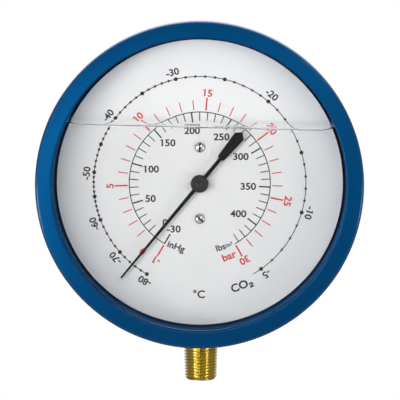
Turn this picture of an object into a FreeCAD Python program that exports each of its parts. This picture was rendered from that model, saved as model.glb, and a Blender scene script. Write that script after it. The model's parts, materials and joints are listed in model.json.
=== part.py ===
import FreeCAD, Part
import math
import os

# Bottom-connected pressure gauge with a liquid-filled case, in millimetres.
# The dial faces -Y, +Z is up, and the origin is the centre of the stem's end face.
# Points of the movement are given as (x, z) from the pointer axis, seen from the front.

# Case: a pressed cup with an outward flange at its mouth
CASE_INNER_RADIUS = 44.7
CASE_SHEET = 1.0
CASE_CORNER = 3.0
BACK_SPACE = 9.5

# Bezel: a pressed ring, rolled behind the flange
OPENING_STEP = 0.2
RING_WALL = 1.0
LIP_THICKNESS = 1.2
RING_EDGE = 0.6
RING_FACE_FALL = 1.0
CRIMP_WIDTH = 1.8
FLANGE_GAP = 0.1

# Window between the lip and a flat gasket
LIP_COVER = 3.7
WINDOW_EDGE_GAP = 0.4
WINDOW_THICKNESS = 3.0
WINDOW_SPACE = 9.5
GASKET_THICKNESS = 0.8
GASKET_WIDTH = 3.0

# Dial, its posts and its slotted screws
DIAL_EDGE_GAP = 0.9
DIAL_THICKNESS = 0.8
DIAL_HOLE_RADIUS = 1.6
DIAL_SCREW_OFFSET = 11.0
DIAL_SCREW_RADIUS = 0.95
DIAL_SCREW_HEAD_RADIUS = 1.6
DIAL_SCREW_HEAD = 1.0
DIAL_SCREW_TIP_GAP = 0.2
DIAL_SLOT_TURNS = (12.0, 48.0)
SLOT_WIDTH = 0.45
SLOT_DEPTH = 0.45
POST_RADIUS = 2.2
POST_LENGTH = 2.2

# Pointer, drawn hanging straight down and then turned to the zero mark
POINTER_REST_TURN = 39.68
POINTER_REACH = 37.9
POINTER_TIP_WIDTH = 0.55
POINTER_ROOT_WIDTH = 1.2
POINTER_NECK_WIDTH = 1.15
POINTER_SHEET = 0.4
POINTER_LIFT = 2.2
PADDLE_START = 9.65
PADDLE_SHOULDER = 10.2
PADDLE_ROOF = 18.95
PADDLE_REACH = 20.5
PADDLE_WIDTH_INNER = 2.35
PADDLE_WIDTH_OUTER = 3.5
EYE_RADIUS = 2.6
HUB_CAP_RADIUS = 2.75
HUB_CAP_HEIGHT = 1.3
HUB_CAP_CHAMFER = 0.7
BUSH_RADIUS = 2.0
BUSH_TAIL = 1.0

# Gear pair that turns the tube's small stroke into three quarters of a turn
MODULE = 0.3
PINION_TEETH = 10
SECTOR_TEETH = 100
PRESSURE_ANGLE = 20.0
PROFILE_SHIFT = 0.4
DEDENDUM = 1.25
TOOTH_BACKLASH = 0.05
SECTOR_TOOTH_FIRST = -2
SECTOR_TOOTH_LAST = 10
RIM_DEPTH = 2.6
SPOKE_ANGLE = 8.0
SECTOR_SHEET = 1.0
SECTOR_HUB_RADIUS = 3.2
TAIL_ROOT_RADIUS = 2.1
PINION_LENGTH = 2.4

# Linkage between the tube's tip and the sector's tail
TAIL_LENGTH = 7.39
TAIL_ANGLE = -60.0
TIP_PIN = (16.80, -7.88)
LINK_SHEET = 0.8
LINK_GAP = 0.2
LINK_WIDTH = 1.8
LINK_EYE_RADIUS = 1.6
PIN_RADIUS = 0.55
PIN_HEAD_RADIUS = 1.1
PIN_HEAD = 0.5
TIP_PIN_PLAY = 0.2

# Arbors: thin journals in the plates, thicker bodies between them
RUNNING_FIT = 0.04
PRESS_FIT_GAP = 0.01
END_PLAY = 0.1
PINION_BODY_RADIUS = 0.8
PINION_BACK_JOURNAL = 0.4
PINION_FRONT_JOURNAL = 0.7
PINION_NOSE_RADIUS = 0.6
SECTOR_BODY_RADIUS = 1.3
SECTOR_JOURNAL = 0.6

# Movement frame: two plates on two pillars, which are riveted into the back plate
PLATE_SHEET = 1.5
PLATE_SPACE = 6.5
PLATE_MARGIN = 1.5
PILLAR_RADIUS = 1.6
PILLAR_SPIGOT_RADIUS = 0.9
UPPER_PILLAR = (7.5, 5.0)
LOWER_PILLAR = (-8.0, -15.0)
PLATE_SCREW_RADIUS = 0.7
PLATE_SCREW_LENGTH = 3.6
PLATE_SCREW_HEAD_RADIUS = 1.5
PLATE_SCREW_HEAD = 0.8
SECTOR_SETBACK = 1.6

# Screws that hold the movement on the stem block
MOVEMENT_SCREWS = ((-4.0, -22.8), (4.0, -28.5))
MOVEMENT_SCREW_RADIUS = 1.25
MOVEMENT_SCREW_LENGTH = 4.0
MOVEMENT_HEAD_RADIUS = 2.3
MOVEMENT_HEAD = 1.3
MOVEMENT_SLOT_TURN = 48.0
PLATE_FOOT_MARGIN = 2.6

# Hairspring round the pinion arbor
HAIRSPRING_INNER = 1.75
HAIRSPRING_PITCH = 0.8
HAIRSPRING_TURNS = 4
HAIRSPRING_STRIP = 0.18
HAIRSPRING_WIDTH = 1.0
HAIRSPRING_SETBACK = 0.7
COLLET_RADIUS = 1.6
COLLET_OVERHANG = 0.3
STUD_WIDTH = 1.3
STUD_HEIGHT = 1.6

# Tube: flattened section bent round the pointer axis, from the stem block to its free tip
TUBE_RADIUS = 29.0
TUBE_SECTION_WIDTH = 11.0
TUBE_SECTION_HEIGHT = 4.5
TUBE_WALL = 0.6
TUBE_START_ANGLE = 2.0
TUBE_END_ANGLE = 284.0
TIP_ANGLE = 9.0
SEAT_ANGLE = 90.0
TUBE_SECTION_BEVEL = 1.3
TIP_RIM = 0.75
TIP_EAR_RADIUS = 1.7
TIP_BRIDGE_RADIUS = 2.4
SOLDER_GAP = 0.05

# Stem: taper thread, spanner flats, neck through the case, saddle and block
THREAD_END_RADIUS = 4.995
THREAD_TAPER = 1.0 / 32.0
THREAD_LENGTH = 11.0
THREAD_CHAMFER = 0.9
NECK_RADIUS = 7.0
NECK_LENGTH = 7.9
NECK_HOLE_GAP = 0.15
FLATS_ACROSS = 12.0
FLATS_COLLAR = 1.1
SADDLE_SIDE_MARGIN = 2.72
SADDLE_HALF_DEPTH = 9.5
SADDLE_THICKNESS = 5.4
SADDLE_GASKET = 0.8
BLOCK_HALF_WIDTH = 7.0
BLOCK_HALF_DEPTH = 6.5
BLOCK_CHAMFER = 0.6
BLOCK_BELOW_PIVOT = 3.0
INLET_RADIUS = 2.0
INLET_DEPTH = 3.0
RESTRICTOR_RADIUS = 1.65
RESTRICTOR_BORE_GAP = 0.05
RESTRICTOR_DEPTH = 6.0
RESTRICTOR_LENGTH = 4.0
RESTRICTOR_HOLE = 0.3
RESTRICTOR_SLOT = 0.6
PASSAGE_RADIUS = 1.2

# Screws either side of the stem, and the filling plug on top
STEM_SCREW_TURN = 13.0
STEM_SCREW_RADIUS = 1.5
STEM_SCREW_HOLE_GAP = 0.1
STEM_SCREW_HEAD_RADIUS = 2.75
STEM_SCREW_HEAD = 1.7
STEM_SCREW_GRIP = 3.5
STEM_SCREW_SLOT = 0.8
PLUG_SETBACK = 2.0
PLUG_RADIUS = 4.2
PLUG_FLANGE_RADIUS = 6.0
PLUG_HEAD = 1.2
PLUG_LIP = 1.0
PLUG_LIP_RADIUS = 5.2
PLUG_NIPPLE_RADIUS = 1.3
PLUG_NIPPLE = 0.5

# Depths, stacked forwards from the stem block to the front of the bezel
back_plate_back = -BLOCK_HALF_DEPTH
back_plate_front = back_plate_back - PLATE_SHEET
front_plate_back = back_plate_front - PLATE_SPACE
front_plate_front = front_plate_back - PLATE_SHEET
dial_back = front_plate_front - POST_LENGTH
dial_front = dial_back - DIAL_THICKNESS
window_back = dial_front - WINDOW_SPACE
window_front = window_back - WINDOW_THICKNESS
ring_front = window_front - LIP_THICKNESS
flange_front = window_back + GASKET_THICKNESS
flange_back = flange_front + CASE_SHEET
ring_back = flange_back + RING_WALL
case_back_inner = BLOCK_HALF_DEPTH + BACK_SPACE
case_back_outer = case_back_inner + CASE_SHEET

blade_front = dial_front - POINTER_LIFT - POINTER_SHEET
blade_back = blade_front + POINTER_SHEET
sector_back = back_plate_front - SECTOR_SETBACK
sector_front = sector_back - SECTOR_SHEET
link_back = sector_front - LINK_GAP
link_front = link_back - LINK_SHEET
hairspring_front = front_plate_back + HAIRSPRING_SETBACK
hairspring_back = hairspring_front + HAIRSPRING_WIDTH

# Radii that follow from the seats, and the pointer axis above the stem's end
case_outer_radius = CASE_INNER_RADIUS + CASE_SHEET
ring_opening_radius = CASE_INNER_RADIUS + OPENING_STEP
window_radius = ring_opening_radius + LIP_COVER
ring_seat_radius = window_radius + WINDOW_EDGE_GAP
ring_radius = ring_seat_radius + RING_WALL
flange_radius = ring_seat_radius - FLANGE_GAP
dial_radius = CASE_INNER_RADIUS - DIAL_EDGE_GAP
AXIS_HEIGHT = THREAD_LENGTH + NECK_LENGTH + case_outer_radius

# Places that follow from the gear pair and the linkage
pinion_pitch_radius = MODULE * PINION_TEETH / 2
sector_pitch_radius = MODULE * SECTOR_TEETH / 2
SECTOR_PIVOT = (0.0, -(pinion_pitch_radius + sector_pitch_radius))
TAIL_PIN = (
    SECTOR_PIVOT[0] + TAIL_LENGTH * math.cos(math.radians(TAIL_ANGLE)),
    SECTOR_PIVOT[1] + TAIL_LENGTH * math.sin(math.radians(TAIL_ANGLE)),
)
PILLARS = (UPPER_PILLAR, LOWER_PILLAR)
DIAL_SCREWS = ((0.0, DIAL_SCREW_OFFSET), (0.0, -DIAL_SCREW_OFFSET))
block_top = AXIS_HEIGHT + SECTOR_PIVOT[1] - BLOCK_BELOW_PIVOT
saddle_radius = CASE_INNER_RADIUS - SADDLE_GASKET
saddle_top = AXIS_HEIGHT - saddle_radius + SADDLE_THICKNESS
stem_screw_offset = case_outer_radius * math.sin(math.radians(STEM_SCREW_TURN))
saddle_half_width = stem_screw_offset + SADDLE_SIDE_MARGIN

V = FreeCAD.Vector
AXIS_POINT = V(0, 0, AXIS_HEIGHT)
BACKWARD = V(0, 1, 0)
UP = V(0, 0, 1)
ORIGIN = V(0, 0, 0)


def at(point, y):
    """A point of the movement, measured from the pointer axis, at depth y."""
    return V(point[0], y, AXIS_HEIGHT + point[1])


def rod(point, radius, y_front, y_back):
    """Round bar along the depth."""
    return Part.makeCylinder(radius, y_back - y_front, at(point, y_front), BACKWARD)


def bevelled_wire(corners):
    """Closed outline from (vector, bevel) corners; a bevel cuts its corner off by that much."""
    points = []
    for i, (corner, bevel) in enumerate(corners):
        if not bevel:
            points.append(corner)
            continue
        for neighbour in (corners[i - 1][0], corners[(i + 1) % len(corners)][0]):
            points.append(corner + (neighbour - corner).normalize() * bevel)
    return Part.makePolygon(points + points[:1])


def turned(profile):
    """Solid of revolution about the pointer axis from (radius, depth, bevel) corners."""
    corners = [(V(radius, y, AXIS_HEIGHT), bevel) for radius, y, bevel in profile]
    return Part.Face(bevelled_wire(corners)).revolve(AXIS_POINT, BACKWARD, 360)


def centred_box(half_width, half_depth, bottom, top):
    """Upright box centred on the stem axis."""
    corner = V(-half_width, -half_depth, bottom)
    return Part.makeBox(2 * half_width, 2 * half_depth, top - bottom, corner)


def upright(profile):
    """Solid of revolution about the stem axis from (radius, height) corners."""
    corners = [(V(radius, 0, z), 0) for radius, z in profile]
    return Part.Face(bevelled_wire(corners)).revolve(ORIGIN, UP, 360)


def belt(circles, y_front, y_back):
    """Plate whose edge runs like a belt round circles (x, z, radius), listed anticlockwise."""
    count = len(circles)
    normals = []
    for i, (x, z, radius) in enumerate(circles):
        next_x, next_z, next_radius = circles[(i + 1) % count]
        span = math.hypot(next_x - x, next_z - z)
        ux = (next_x - x) / span
        uz = (next_z - z) / span
        lean = (radius - next_radius) / span
        square = math.sqrt(1 - lean * lean)
        normals.append((ux * lean + uz * square, uz * lean - ux * square))
    edges = []
    for i, (x, z, radius) in enumerate(circles):
        first = math.atan2(normals[i - 1][1], normals[i - 1][0])
        last = math.atan2(normals[i][1], normals[i][0])
        while last < first:
            last += 2 * math.pi
        points = [
            at((x + radius * math.cos(angle), z + radius * math.sin(angle)), y_front)
            for angle in (first, (first + last) / 2, last)
        ]
        edges.append(Part.Arc(*points).toShape())
        next_x, next_z, next_radius = circles[(i + 1) % count]
        touch = (next_x + next_radius * normals[i][0], next_z + next_radius * normals[i][1])
        edges.append(Part.makeLine(points[2], at(touch, y_front)))
    return Part.Face(Part.Wire(edges)).extrude(V(0, y_back - y_front, 0))


def drilled(plate, holes, y_front, y_back):
    """A plate with round holes, given as (point, radius)."""
    for point, radius in holes:
        plate = plate.cut(rod(point, radius, y_front, y_back))
    return plate


def clockwise(point, degrees):
    """Turn a point of the movement about the pointer axis, clockwise from the front."""
    angle = math.radians(degrees)
    x = point[0] * math.cos(angle) + point[1] * math.sin(angle)
    z = point[1] * math.cos(angle) - point[0] * math.sin(angle)
    return (x, z)


def slot_across(point, radius, y_front, turn):
    """Cutter for a screwdriver slot in a head that faces the front."""
    blade = Part.makeBox(2 * radius, SLOT_DEPTH, SLOT_WIDTH, V(-radius, 0, -SLOT_WIDTH / 2))
    blade.rotate(ORIGIN, BACKWARD, turn)
    blade.translate(at(point, y_front))
    return blade


def wall_cutter(radius, y, turn):
    """Radial drill through the case wall, turned clockwise from straight down."""
    drill = Part.makeCylinder(radius, 2 * case_outer_radius, V(0, y, AXIS_HEIGHT), V(0, 0, -1))
    drill.rotate(AXIS_POINT, BACKWARD, turn)
    return drill


def shell_patch(inner, outer, cutter):
    """Piece of a cylindrical shell round the pointer axis, bounded by a solid."""
    length = 4 * CASE_INNER_RADIUS
    front = V(0, -length / 2, AXIS_HEIGHT)
    tube = Part.makeCylinder(outer, length, front, BACKWARD)
    tube = tube.cut(Part.makeCylinder(inner, length, front, BACKWARD))
    return tube.common(cutter)


def make_case():
    """Deep cup with a bevelled back corner and a flange round its mouth."""
    # a 45 degree bevel keeps the wall even when its inner leg is this much shorter
    inner_corner = CASE_CORNER - (2 - math.sqrt(2)) * CASE_SHEET
    cup = turned(
        [
            (0, case_back_outer, 0),
            (case_outer_radius, case_back_outer, CASE_CORNER),
            (case_outer_radius, flange_back, 0),
            (flange_radius, flange_back, 0),
            (flange_radius, flange_front, 0),
            (CASE_INNER_RADIUS, flange_front, 0),
            (CASE_INNER_RADIUS, case_back_inner, inner_corner),
            (0, case_back_inner, 0),
        ]
    )
    neck = Part.makeCylinder(NECK_RADIUS + NECK_HOLE_GAP, AXIS_HEIGHT)
    plug_hole = wall_cutter(PLUG_RADIUS, PLUG_SETBACK, 180)
    cup = cup.cut(neck).cut(plug_hole)
    for side in (-1, 1):
        hole = wall_cutter(STEM_SCREW_RADIUS + STEM_SCREW_HOLE_GAP, 0, side * STEM_SCREW_TURN)
        cup = cup.cut(hole)
    return cup


def make_bezel_ring():
    """Ring with a coned lip that holds the window, rolled in behind the case flange."""
    crimp_radius = ring_seat_radius - CRIMP_WIDTH
    return turned(
        [
            (ring_opening_radius, window_front, 0),
            (ring_opening_radius, ring_front, 0),
            (ring_radius, ring_front + RING_FACE_FALL, RING_EDGE),
            (ring_radius, ring_back, 0),
            (crimp_radius, ring_back, 0),
            (crimp_radius, flange_back, 0),
            (ring_seat_radius, flange_back, 0),
            (ring_seat_radius, window_front, 0),
        ]
    )


def make_window():
    """Flat glass disc."""
    return rod((0, 0), window_radius, window_front, window_back)


def make_window_gasket():
    """Flat rubber ring squeezed between the window and the case flange."""
    ring = rod((0, 0), window_radius, window_back, flange_front)
    return ring.cut(rod((0, 0), window_radius - GASKET_WIDTH, window_back, flange_front))


def make_dial():
    """Thin disc with a hole for the arbor and two for its screws."""
    holes = [((0, 0), DIAL_HOLE_RADIUS)]
    holes += [(place, DIAL_SCREW_RADIUS + RUNNING_FIT) for place in DIAL_SCREWS]
    disc = rod((0, 0), dial_radius, dial_front, dial_back)
    return drilled(disc, holes, dial_front, dial_back)


def make_dial_screws():
    """Two cheese-head screws with slots left at different turns."""
    screws = []
    for place, turn in zip(DIAL_SCREWS, DIAL_SLOT_TURNS):
        head_front = dial_front - DIAL_SCREW_HEAD
        screw = rod(place, DIAL_SCREW_HEAD_RADIUS, head_front, dial_front)
        tip = front_plate_back - DIAL_SCREW_TIP_GAP
        screw = screw.fuse(rod(place, DIAL_SCREW_RADIUS, dial_front, tip))
        slot = slot_across(place, DIAL_SCREW_HEAD_RADIUS, head_front, turn)
        screws.append(screw.cut(slot).removeSplitter())
    return Part.makeCompound(screws)


def make_dial_posts():
    """Two spacers between the dial and the front plate."""
    posts = []
    for place in DIAL_SCREWS:
        post = rod(place, POST_RADIUS, dial_back, front_plate_front)
        bore = rod(place, DIAL_SCREW_RADIUS + RUNNING_FIT, dial_back, front_plate_front)
        posts.append(post.cut(bore))
    return Part.makeCompound(posts)


def make_pointer():
    """Thin blade with a tapering arm, an eye for the bush and a counterweight paddle."""
    outline = [
        (POINTER_TIP_WIDTH / 2, -POINTER_REACH),
        (POINTER_ROOT_WIDTH / 2, 0.0),
        (POINTER_NECK_WIDTH / 2, PADDLE_START),
        (PADDLE_WIDTH_INNER / 2, PADDLE_SHOULDER),
        (PADDLE_WIDTH_OUTER / 2, PADDLE_ROOF),
        (0.0, PADDLE_REACH),
        (-PADDLE_WIDTH_OUTER / 2, PADDLE_ROOF),
        (-PADDLE_WIDTH_INNER / 2, PADDLE_SHOULDER),
        (-POINTER_NECK_WIDTH / 2, PADDLE_START),
        (-POINTER_ROOT_WIDTH / 2, 0.0),
        (-POINTER_TIP_WIDTH / 2, -POINTER_REACH),
    ]
    corners = [at(point, blade_front) for point in outline]
    face = Part.Face(Part.makePolygon(corners + corners[:1]))
    blade = face.extrude(V(0, POINTER_SHEET, 0))
    blade = blade.fuse(rod((0, 0), EYE_RADIUS, blade_front, blade_back))
    blade = blade.cut(rod((0, 0), BUSH_RADIUS + PRESS_FIT_GAP, blade_front, blade_back))
    blade.rotate(AXIS_POINT, BACKWARD, POINTER_REST_TURN)
    return blade.removeSplitter()


def make_pointer_hub():
    """Bevelled cap in front of the blade and the bush that grips the arbor."""
    bush_back = blade_back + BUSH_TAIL
    hub = turned(
        [
            (0, blade_front - HUB_CAP_HEIGHT, 0),
            (HUB_CAP_RADIUS, blade_front - HUB_CAP_HEIGHT, HUB_CAP_CHAMFER),
            (HUB_CAP_RADIUS, blade_front, 0),
            (BUSH_RADIUS, blade_front, 0),
            (BUSH_RADIUS, bush_back, 0),
            (0, bush_back, 0),
        ]
    )
    return hub.cut(rod((0, 0), PINION_NOSE_RADIUS + PRESS_FIT_GAP, blade_front, bush_back))


def involute(angle):
    return math.tan(angle) - angle


def tooth_half_angle(radius, teeth, profile_shift):
    """Half the angle that a tooth fills at a radius."""
    alpha = math.radians(PRESSURE_ANGLE)
    pitch_radius = MODULE * teeth / 2
    base_radius = pitch_radius * math.cos(alpha)
    at_pitch = (math.pi / 2 + 2 * profile_shift * math.tan(alpha)) / teeth
    at_pitch -= TOOTH_BACKLASH / (4 * pitch_radius)
    here = math.acos(base_radius / max(radius, base_radius))
    return at_pitch + involute(alpha) - involute(here)


def tooth_edges(teeth, profile_shift, centre_angle, y):
    """Flank, tip and flank of one tooth about the origin; angles run clockwise from up."""
    alpha = math.radians(PRESSURE_ANGLE)
    pitch_radius = MODULE * teeth / 2
    base_radius = pitch_radius * math.cos(alpha)
    tip = pitch_radius + MODULE * (1 + profile_shift)
    root = pitch_radius - MODULE * (DEDENDUM - profile_shift)
    low = max(root, base_radius)

    def place(radius, side):
        angle = centre_angle + side * tooth_half_angle(radius, teeth, profile_shift)
        return V(radius * math.sin(angle), y, radius * math.cos(angle))

    rise = [place(r, -1) for r in (root, low, (low + tip) / 2, tip)]
    fall = [place(r, 1) for r in (tip, (low + tip) / 2, low, root)]
    edges = []
    if low > root:
        edges.append(Part.makeLine(rise[0], rise[1]))
    edges.append(Part.Arc(rise[1], rise[2], rise[3]).toShape())
    edges.append(Part.makeLine(rise[3], fall[0]))
    edges.append(Part.Arc(fall[0], fall[1], fall[2]).toShape())
    if low > root:
        edges.append(Part.makeLine(fall[2], fall[3]))
    return edges, rise[0], fall[3]


def tooth_run(teeth, profile_shift, places, y):
    """Edges of neighbouring teeth, joined at their roots, and the run's two ends."""
    edges = []
    ends = []
    for place in places:
        tooth, start, end = tooth_edges(teeth, profile_shift, place * 2 * math.pi / teeth, y)
        if ends:
            edges.append(Part.makeLine(ends[-1], start))
        edges += tooth
        ends += [start, end]
    return edges, ends[0], ends[-1]


def make_pinion_arbor():
    """Ten-tooth pinion on an arbor that runs in both plates and carries the pointer."""
    body_back = back_plate_front - END_PLAY
    body_front = front_plate_back + END_PLAY
    nose_front = blade_front + PRESS_FIT_GAP
    arbor = turned(
        [
            (0, nose_front, 0),
            (PINION_NOSE_RADIUS, nose_front, 0),
            (PINION_NOSE_RADIUS, front_plate_front, 0),
            (PINION_FRONT_JOURNAL, front_plate_front, 0),
            (PINION_FRONT_JOURNAL, body_front, 0),
            (PINION_BODY_RADIUS, body_front, 0),
            (PINION_BODY_RADIUS, body_back, 0),
            (PINION_BACK_JOURNAL, body_back, 0),
            (PINION_BACK_JOURNAL, back_plate_back, 0),
            (0, back_plate_back, 0),
        ]
    )
    pinion_front = (sector_front + sector_back - PINION_LENGTH) / 2
    places = [i + 0.5 for i in range(PINION_TEETH)]
    edges, start, end = tooth_run(PINION_TEETH, PROFILE_SHIFT, places, pinion_front)
    edges.append(Part.makeLine(end, start))
    pinion = Part.Face(Part.Wire(edges)).extrude(V(0, PINION_LENGTH, 0))
    pinion.translate(AXIS_POINT)
    return arbor.fuse(pinion).removeSplitter()


def make_sector_gear():
    """Toothed rim on two spokes, with a hub and a tail for the link."""
    places = range(SECTOR_TOOTH_FIRST, SECTOR_TOOTH_LAST + 1)
    edges, start, end = tooth_run(SECTOR_TEETH, -PROFILE_SHIFT, places, sector_front)
    hub_centre = V(0, sector_front, 0)
    edges.append(Part.makeLine(end, hub_centre))
    edges.append(Part.makeLine(hub_centre, start))
    wedge = Part.Face(Part.Wire(edges)).extrude(V(0, SECTOR_SHEET, 0))
    wedge.translate(at(SECTOR_PIVOT, 0))
    step = 360 / SECTOR_TEETH
    first_angle = (SECTOR_TOOTH_FIRST - 0.5) * step + SPOKE_ANGLE
    last_angle = (SECTOR_TOOTH_LAST + 0.5) * step - SPOKE_ANGLE
    wedge = wedge.cut(sector_window(first_angle, last_angle))
    hub = rod(SECTOR_PIVOT, SECTOR_HUB_RADIUS, sector_front, sector_back)
    tail = belt(
        [(*SECTOR_PIVOT, TAIL_ROOT_RADIUS), (*TAIL_PIN, LINK_EYE_RADIUS)],
        sector_front,
        sector_back,
    )
    holes = [
        (SECTOR_PIVOT, SECTOR_BODY_RADIUS + PRESS_FIT_GAP),
        (TAIL_PIN, PIN_RADIUS + PRESS_FIT_GAP),
    ]
    gear = drilled(wedge.fuse(hub).fuse(tail), holes, sector_front, sector_back)
    return gear.removeSplitter()


def sector_window(first_angle, last_angle):
    """Cut-out between the spokes, from the hub to the rim; angles run clockwise from up."""
    rim_radius = sector_pitch_radius - RIM_DEPTH
    ring = rod(SECTOR_PIVOT, rim_radius, sector_front, sector_back)
    ring = ring.cut(rod(SECTOR_PIVOT, SECTOR_HUB_RADIUS, sector_front, sector_back))
    corners = [at(SECTOR_PIVOT, sector_front)]
    for angle in (first_angle, (first_angle + last_angle) / 2, last_angle):
        reach = 2 * rim_radius
        turn = math.radians(angle)
        corners.append(corners[0] + V(reach * math.sin(turn), 0, reach * math.cos(turn)))
    wedge = Part.Face(Part.makePolygon(corners + corners[:1])).extrude(V(0, SECTOR_SHEET, 0))
    return ring.common(wedge)


def make_sector_arbor():
    """Thick arbor with a thin journal in each plate."""
    body_back = back_plate_front - END_PLAY
    body_front = front_plate_back + END_PLAY
    arbor = rod(SECTOR_PIVOT, SECTOR_BODY_RADIUS, body_front, body_back)
    journals = rod(SECTOR_PIVOT, SECTOR_JOURNAL, front_plate_front, back_plate_back)
    return arbor.fuse(journals).removeSplitter()


def make_link_pin(point):
    """Headed pin, pressed flush into the sheet that carries it."""
    head_back = link_front - LINK_GAP / 2
    pin = rod(point, PIN_HEAD_RADIUS, head_back - PIN_HEAD, head_back)
    return pin.fuse(rod(point, PIN_RADIUS, head_back, sector_back)).removeSplitter()


def make_link():
    """Flat strip with an eye at each end; the eye at the tube's tip has play."""
    bar = belt(
        [(*TAIL_PIN, LINK_WIDTH / 2), (*TIP_PIN, LINK_WIDTH / 2)],
        link_front,
        link_back,
    )
    for point in (TAIL_PIN, TIP_PIN):
        bar = bar.fuse(rod(point, LINK_EYE_RADIUS, link_front, link_back))
    holes = [(TAIL_PIN, PIN_RADIUS + RUNNING_FIT), (TIP_PIN, PIN_RADIUS + TIP_PIN_PLAY)]
    return drilled(bar, holes, link_front, link_back).removeSplitter()


def make_front_plate():
    """Plate that carries the dial posts, the front bearings and the hairspring stud."""
    margin = PILLAR_RADIUS + PLATE_MARGIN
    plate = belt(
        [
            (*LOWER_PILLAR, margin),
            (*SECTOR_PIVOT, margin),
            (*UPPER_PILLAR, margin),
            (*DIAL_SCREWS[0], margin),
        ],
        front_plate_front,
        front_plate_back,
    )
    holes = [
        ((0, 0), PINION_FRONT_JOURNAL + RUNNING_FIT),
        (SECTOR_PIVOT, SECTOR_JOURNAL + RUNNING_FIT),
    ]
    holes += [(place, DIAL_SCREW_RADIUS + PRESS_FIT_GAP) for place in DIAL_SCREWS]
    holes += [(place, PLATE_SCREW_RADIUS + RUNNING_FIT) for place in PILLARS]
    return drilled(plate, holes, front_plate_front, front_plate_back)


def make_back_plate():
    """Plate that reaches down to the stem block, with the rear bearings."""
    margin = PILLAR_RADIUS + PLATE_MARGIN
    foot_x, foot_z = MOVEMENT_SCREWS[1]
    plate = belt(
        [
            (-foot_x, foot_z, PLATE_FOOT_MARGIN),
            (foot_x, foot_z, PLATE_FOOT_MARGIN),
            (*UPPER_PILLAR, margin),
            (0, 0, margin),
            (*LOWER_PILLAR, margin),
        ],
        back_plate_front,
        back_plate_back,
    )
    holes = [
        ((0, 0), PINION_BACK_JOURNAL + RUNNING_FIT),
        (SECTOR_PIVOT, SECTOR_JOURNAL + RUNNING_FIT),
    ]
    holes += [(place, MOVEMENT_SCREW_RADIUS + RUNNING_FIT) for place in MOVEMENT_SCREWS]
    holes += [(place, PILLAR_SPIGOT_RADIUS + PRESS_FIT_GAP) for place in PILLARS]
    return drilled(plate, holes, back_plate_front, back_plate_back)


def make_plate_pillars():
    """Two spacers between the plates, with a spigot in the back plate and a tapped front end."""
    hole_back = front_plate_front + PLATE_SCREW_LENGTH + END_PLAY
    pillars = []
    for place in PILLARS:
        pillar = rod(place, PILLAR_RADIUS, front_plate_back, back_plate_front)
        pillar = pillar.fuse(rod(place, PILLAR_SPIGOT_RADIUS, back_plate_front, back_plate_back))
        hole = rod(place, PLATE_SCREW_RADIUS + PRESS_FIT_GAP, front_plate_back, hole_back)
        pillars.append(pillar.cut(hole).removeSplitter())
    return Part.makeCompound(pillars)


def make_plate_screws():
    """Two screws through the front plate into the pillars."""
    head_front = front_plate_front - PLATE_SCREW_HEAD
    tip = front_plate_front + PLATE_SCREW_LENGTH
    screws = []
    for place in PILLARS:
        head = rod(place, PLATE_SCREW_HEAD_RADIUS, head_front, front_plate_front)
        shank = rod(place, PLATE_SCREW_RADIUS, front_plate_front, tip)
        screws.append(head.fuse(shank).removeSplitter())
    return Part.makeCompound(screws)


def make_movement_screws():
    """Two slotted screws through the back plate into the stem block."""
    screws = []
    for place in MOVEMENT_SCREWS:
        head_front = back_plate_front - MOVEMENT_HEAD
        screw = rod(place, MOVEMENT_HEAD_RADIUS, head_front, back_plate_front)
        tip = back_plate_back + MOVEMENT_SCREW_LENGTH
        screw = screw.fuse(rod(place, MOVEMENT_SCREW_RADIUS, back_plate_front, tip))
        slot = slot_across(place, MOVEMENT_HEAD_RADIUS, head_front, MOVEMENT_SLOT_TURN)
        screws.append(screw.cut(slot).removeSplitter())
    return Part.makeCompound(screws)


def spiral_edges(offset, y):
    """Half circles about two centres, a quarter pitch either side of the axis, joined smoothly."""
    edges = []
    half_turns = 2 * HAIRSPRING_TURNS
    radius = HAIRSPRING_INNER + offset
    start = V(-radius, y, 0)
    for i in range(half_turns):
        side = 1 if i % 2 == 0 else -1
        radius += HAIRSPRING_PITCH / 2 if i else HAIRSPRING_PITCH / 4
        centre = side * HAIRSPRING_PITCH / 4
        top = V(centre, y, side * radius)
        end = V(centre + side * radius, y, 0)
        edges.append(Part.Arc(start, top, end).toShape())
        start = end
    return edges, start


def make_hairspring():
    """Flat spiral strip between the collet and the stud."""
    inner, inner_end = spiral_edges(0.0, hairspring_front)
    outer, outer_end = spiral_edges(HAIRSPRING_STRIP, hairspring_front)
    inner_start = inner[0].Vertexes[0].Point
    outer_start = outer[0].Vertexes[0].Point
    edges = inner + [Part.makeLine(inner_end, outer_end)] + outer
    edges.append(Part.makeLine(outer_start, inner_start))
    face = Part.Face(Part.Wire(Part.__sortEdges__(edges)))
    spring = face.extrude(V(0, HAIRSPRING_WIDTH, 0))
    spring.translate(AXIS_POINT)
    return spring


def make_hairspring_collet():
    """Small collar that fixes the spring's inner end on the arbor."""
    front = hairspring_front - COLLET_OVERHANG
    back = hairspring_back + COLLET_OVERHANG
    collar = rod((0, 0), COLLET_RADIUS, front, back)
    return collar.cut(rod((0, 0), PINION_BODY_RADIUS + PRESS_FIT_GAP, front, back))


def make_hairspring_stud():
    """Post on the front plate that holds the spring's outer end."""
    strip_middle = HAIRSPRING_INNER + HAIRSPRING_PITCH * HAIRSPRING_TURNS + HAIRSPRING_STRIP / 2
    depth = hairspring_back + COLLET_OVERHANG - front_plate_back
    corner = at((-strip_middle - STUD_WIDTH / 2, 0), front_plate_back)
    return Part.makeBox(STUD_WIDTH, depth, STUD_HEIGHT, corner)


def tube_section(half_width, half_height, bevel):
    """Flattened section of the tube, drawn straight below the pointer axis."""
    middle = AXIS_HEIGHT - TUBE_RADIUS
    corners = [
        V(0, -half_width, middle - half_height),
        V(0, half_width, middle - half_height),
        V(0, half_width, middle + half_height),
        V(0, -half_width, middle + half_height),
    ]
    return bevelled_wire([(corner, bevel) for corner in corners])


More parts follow.
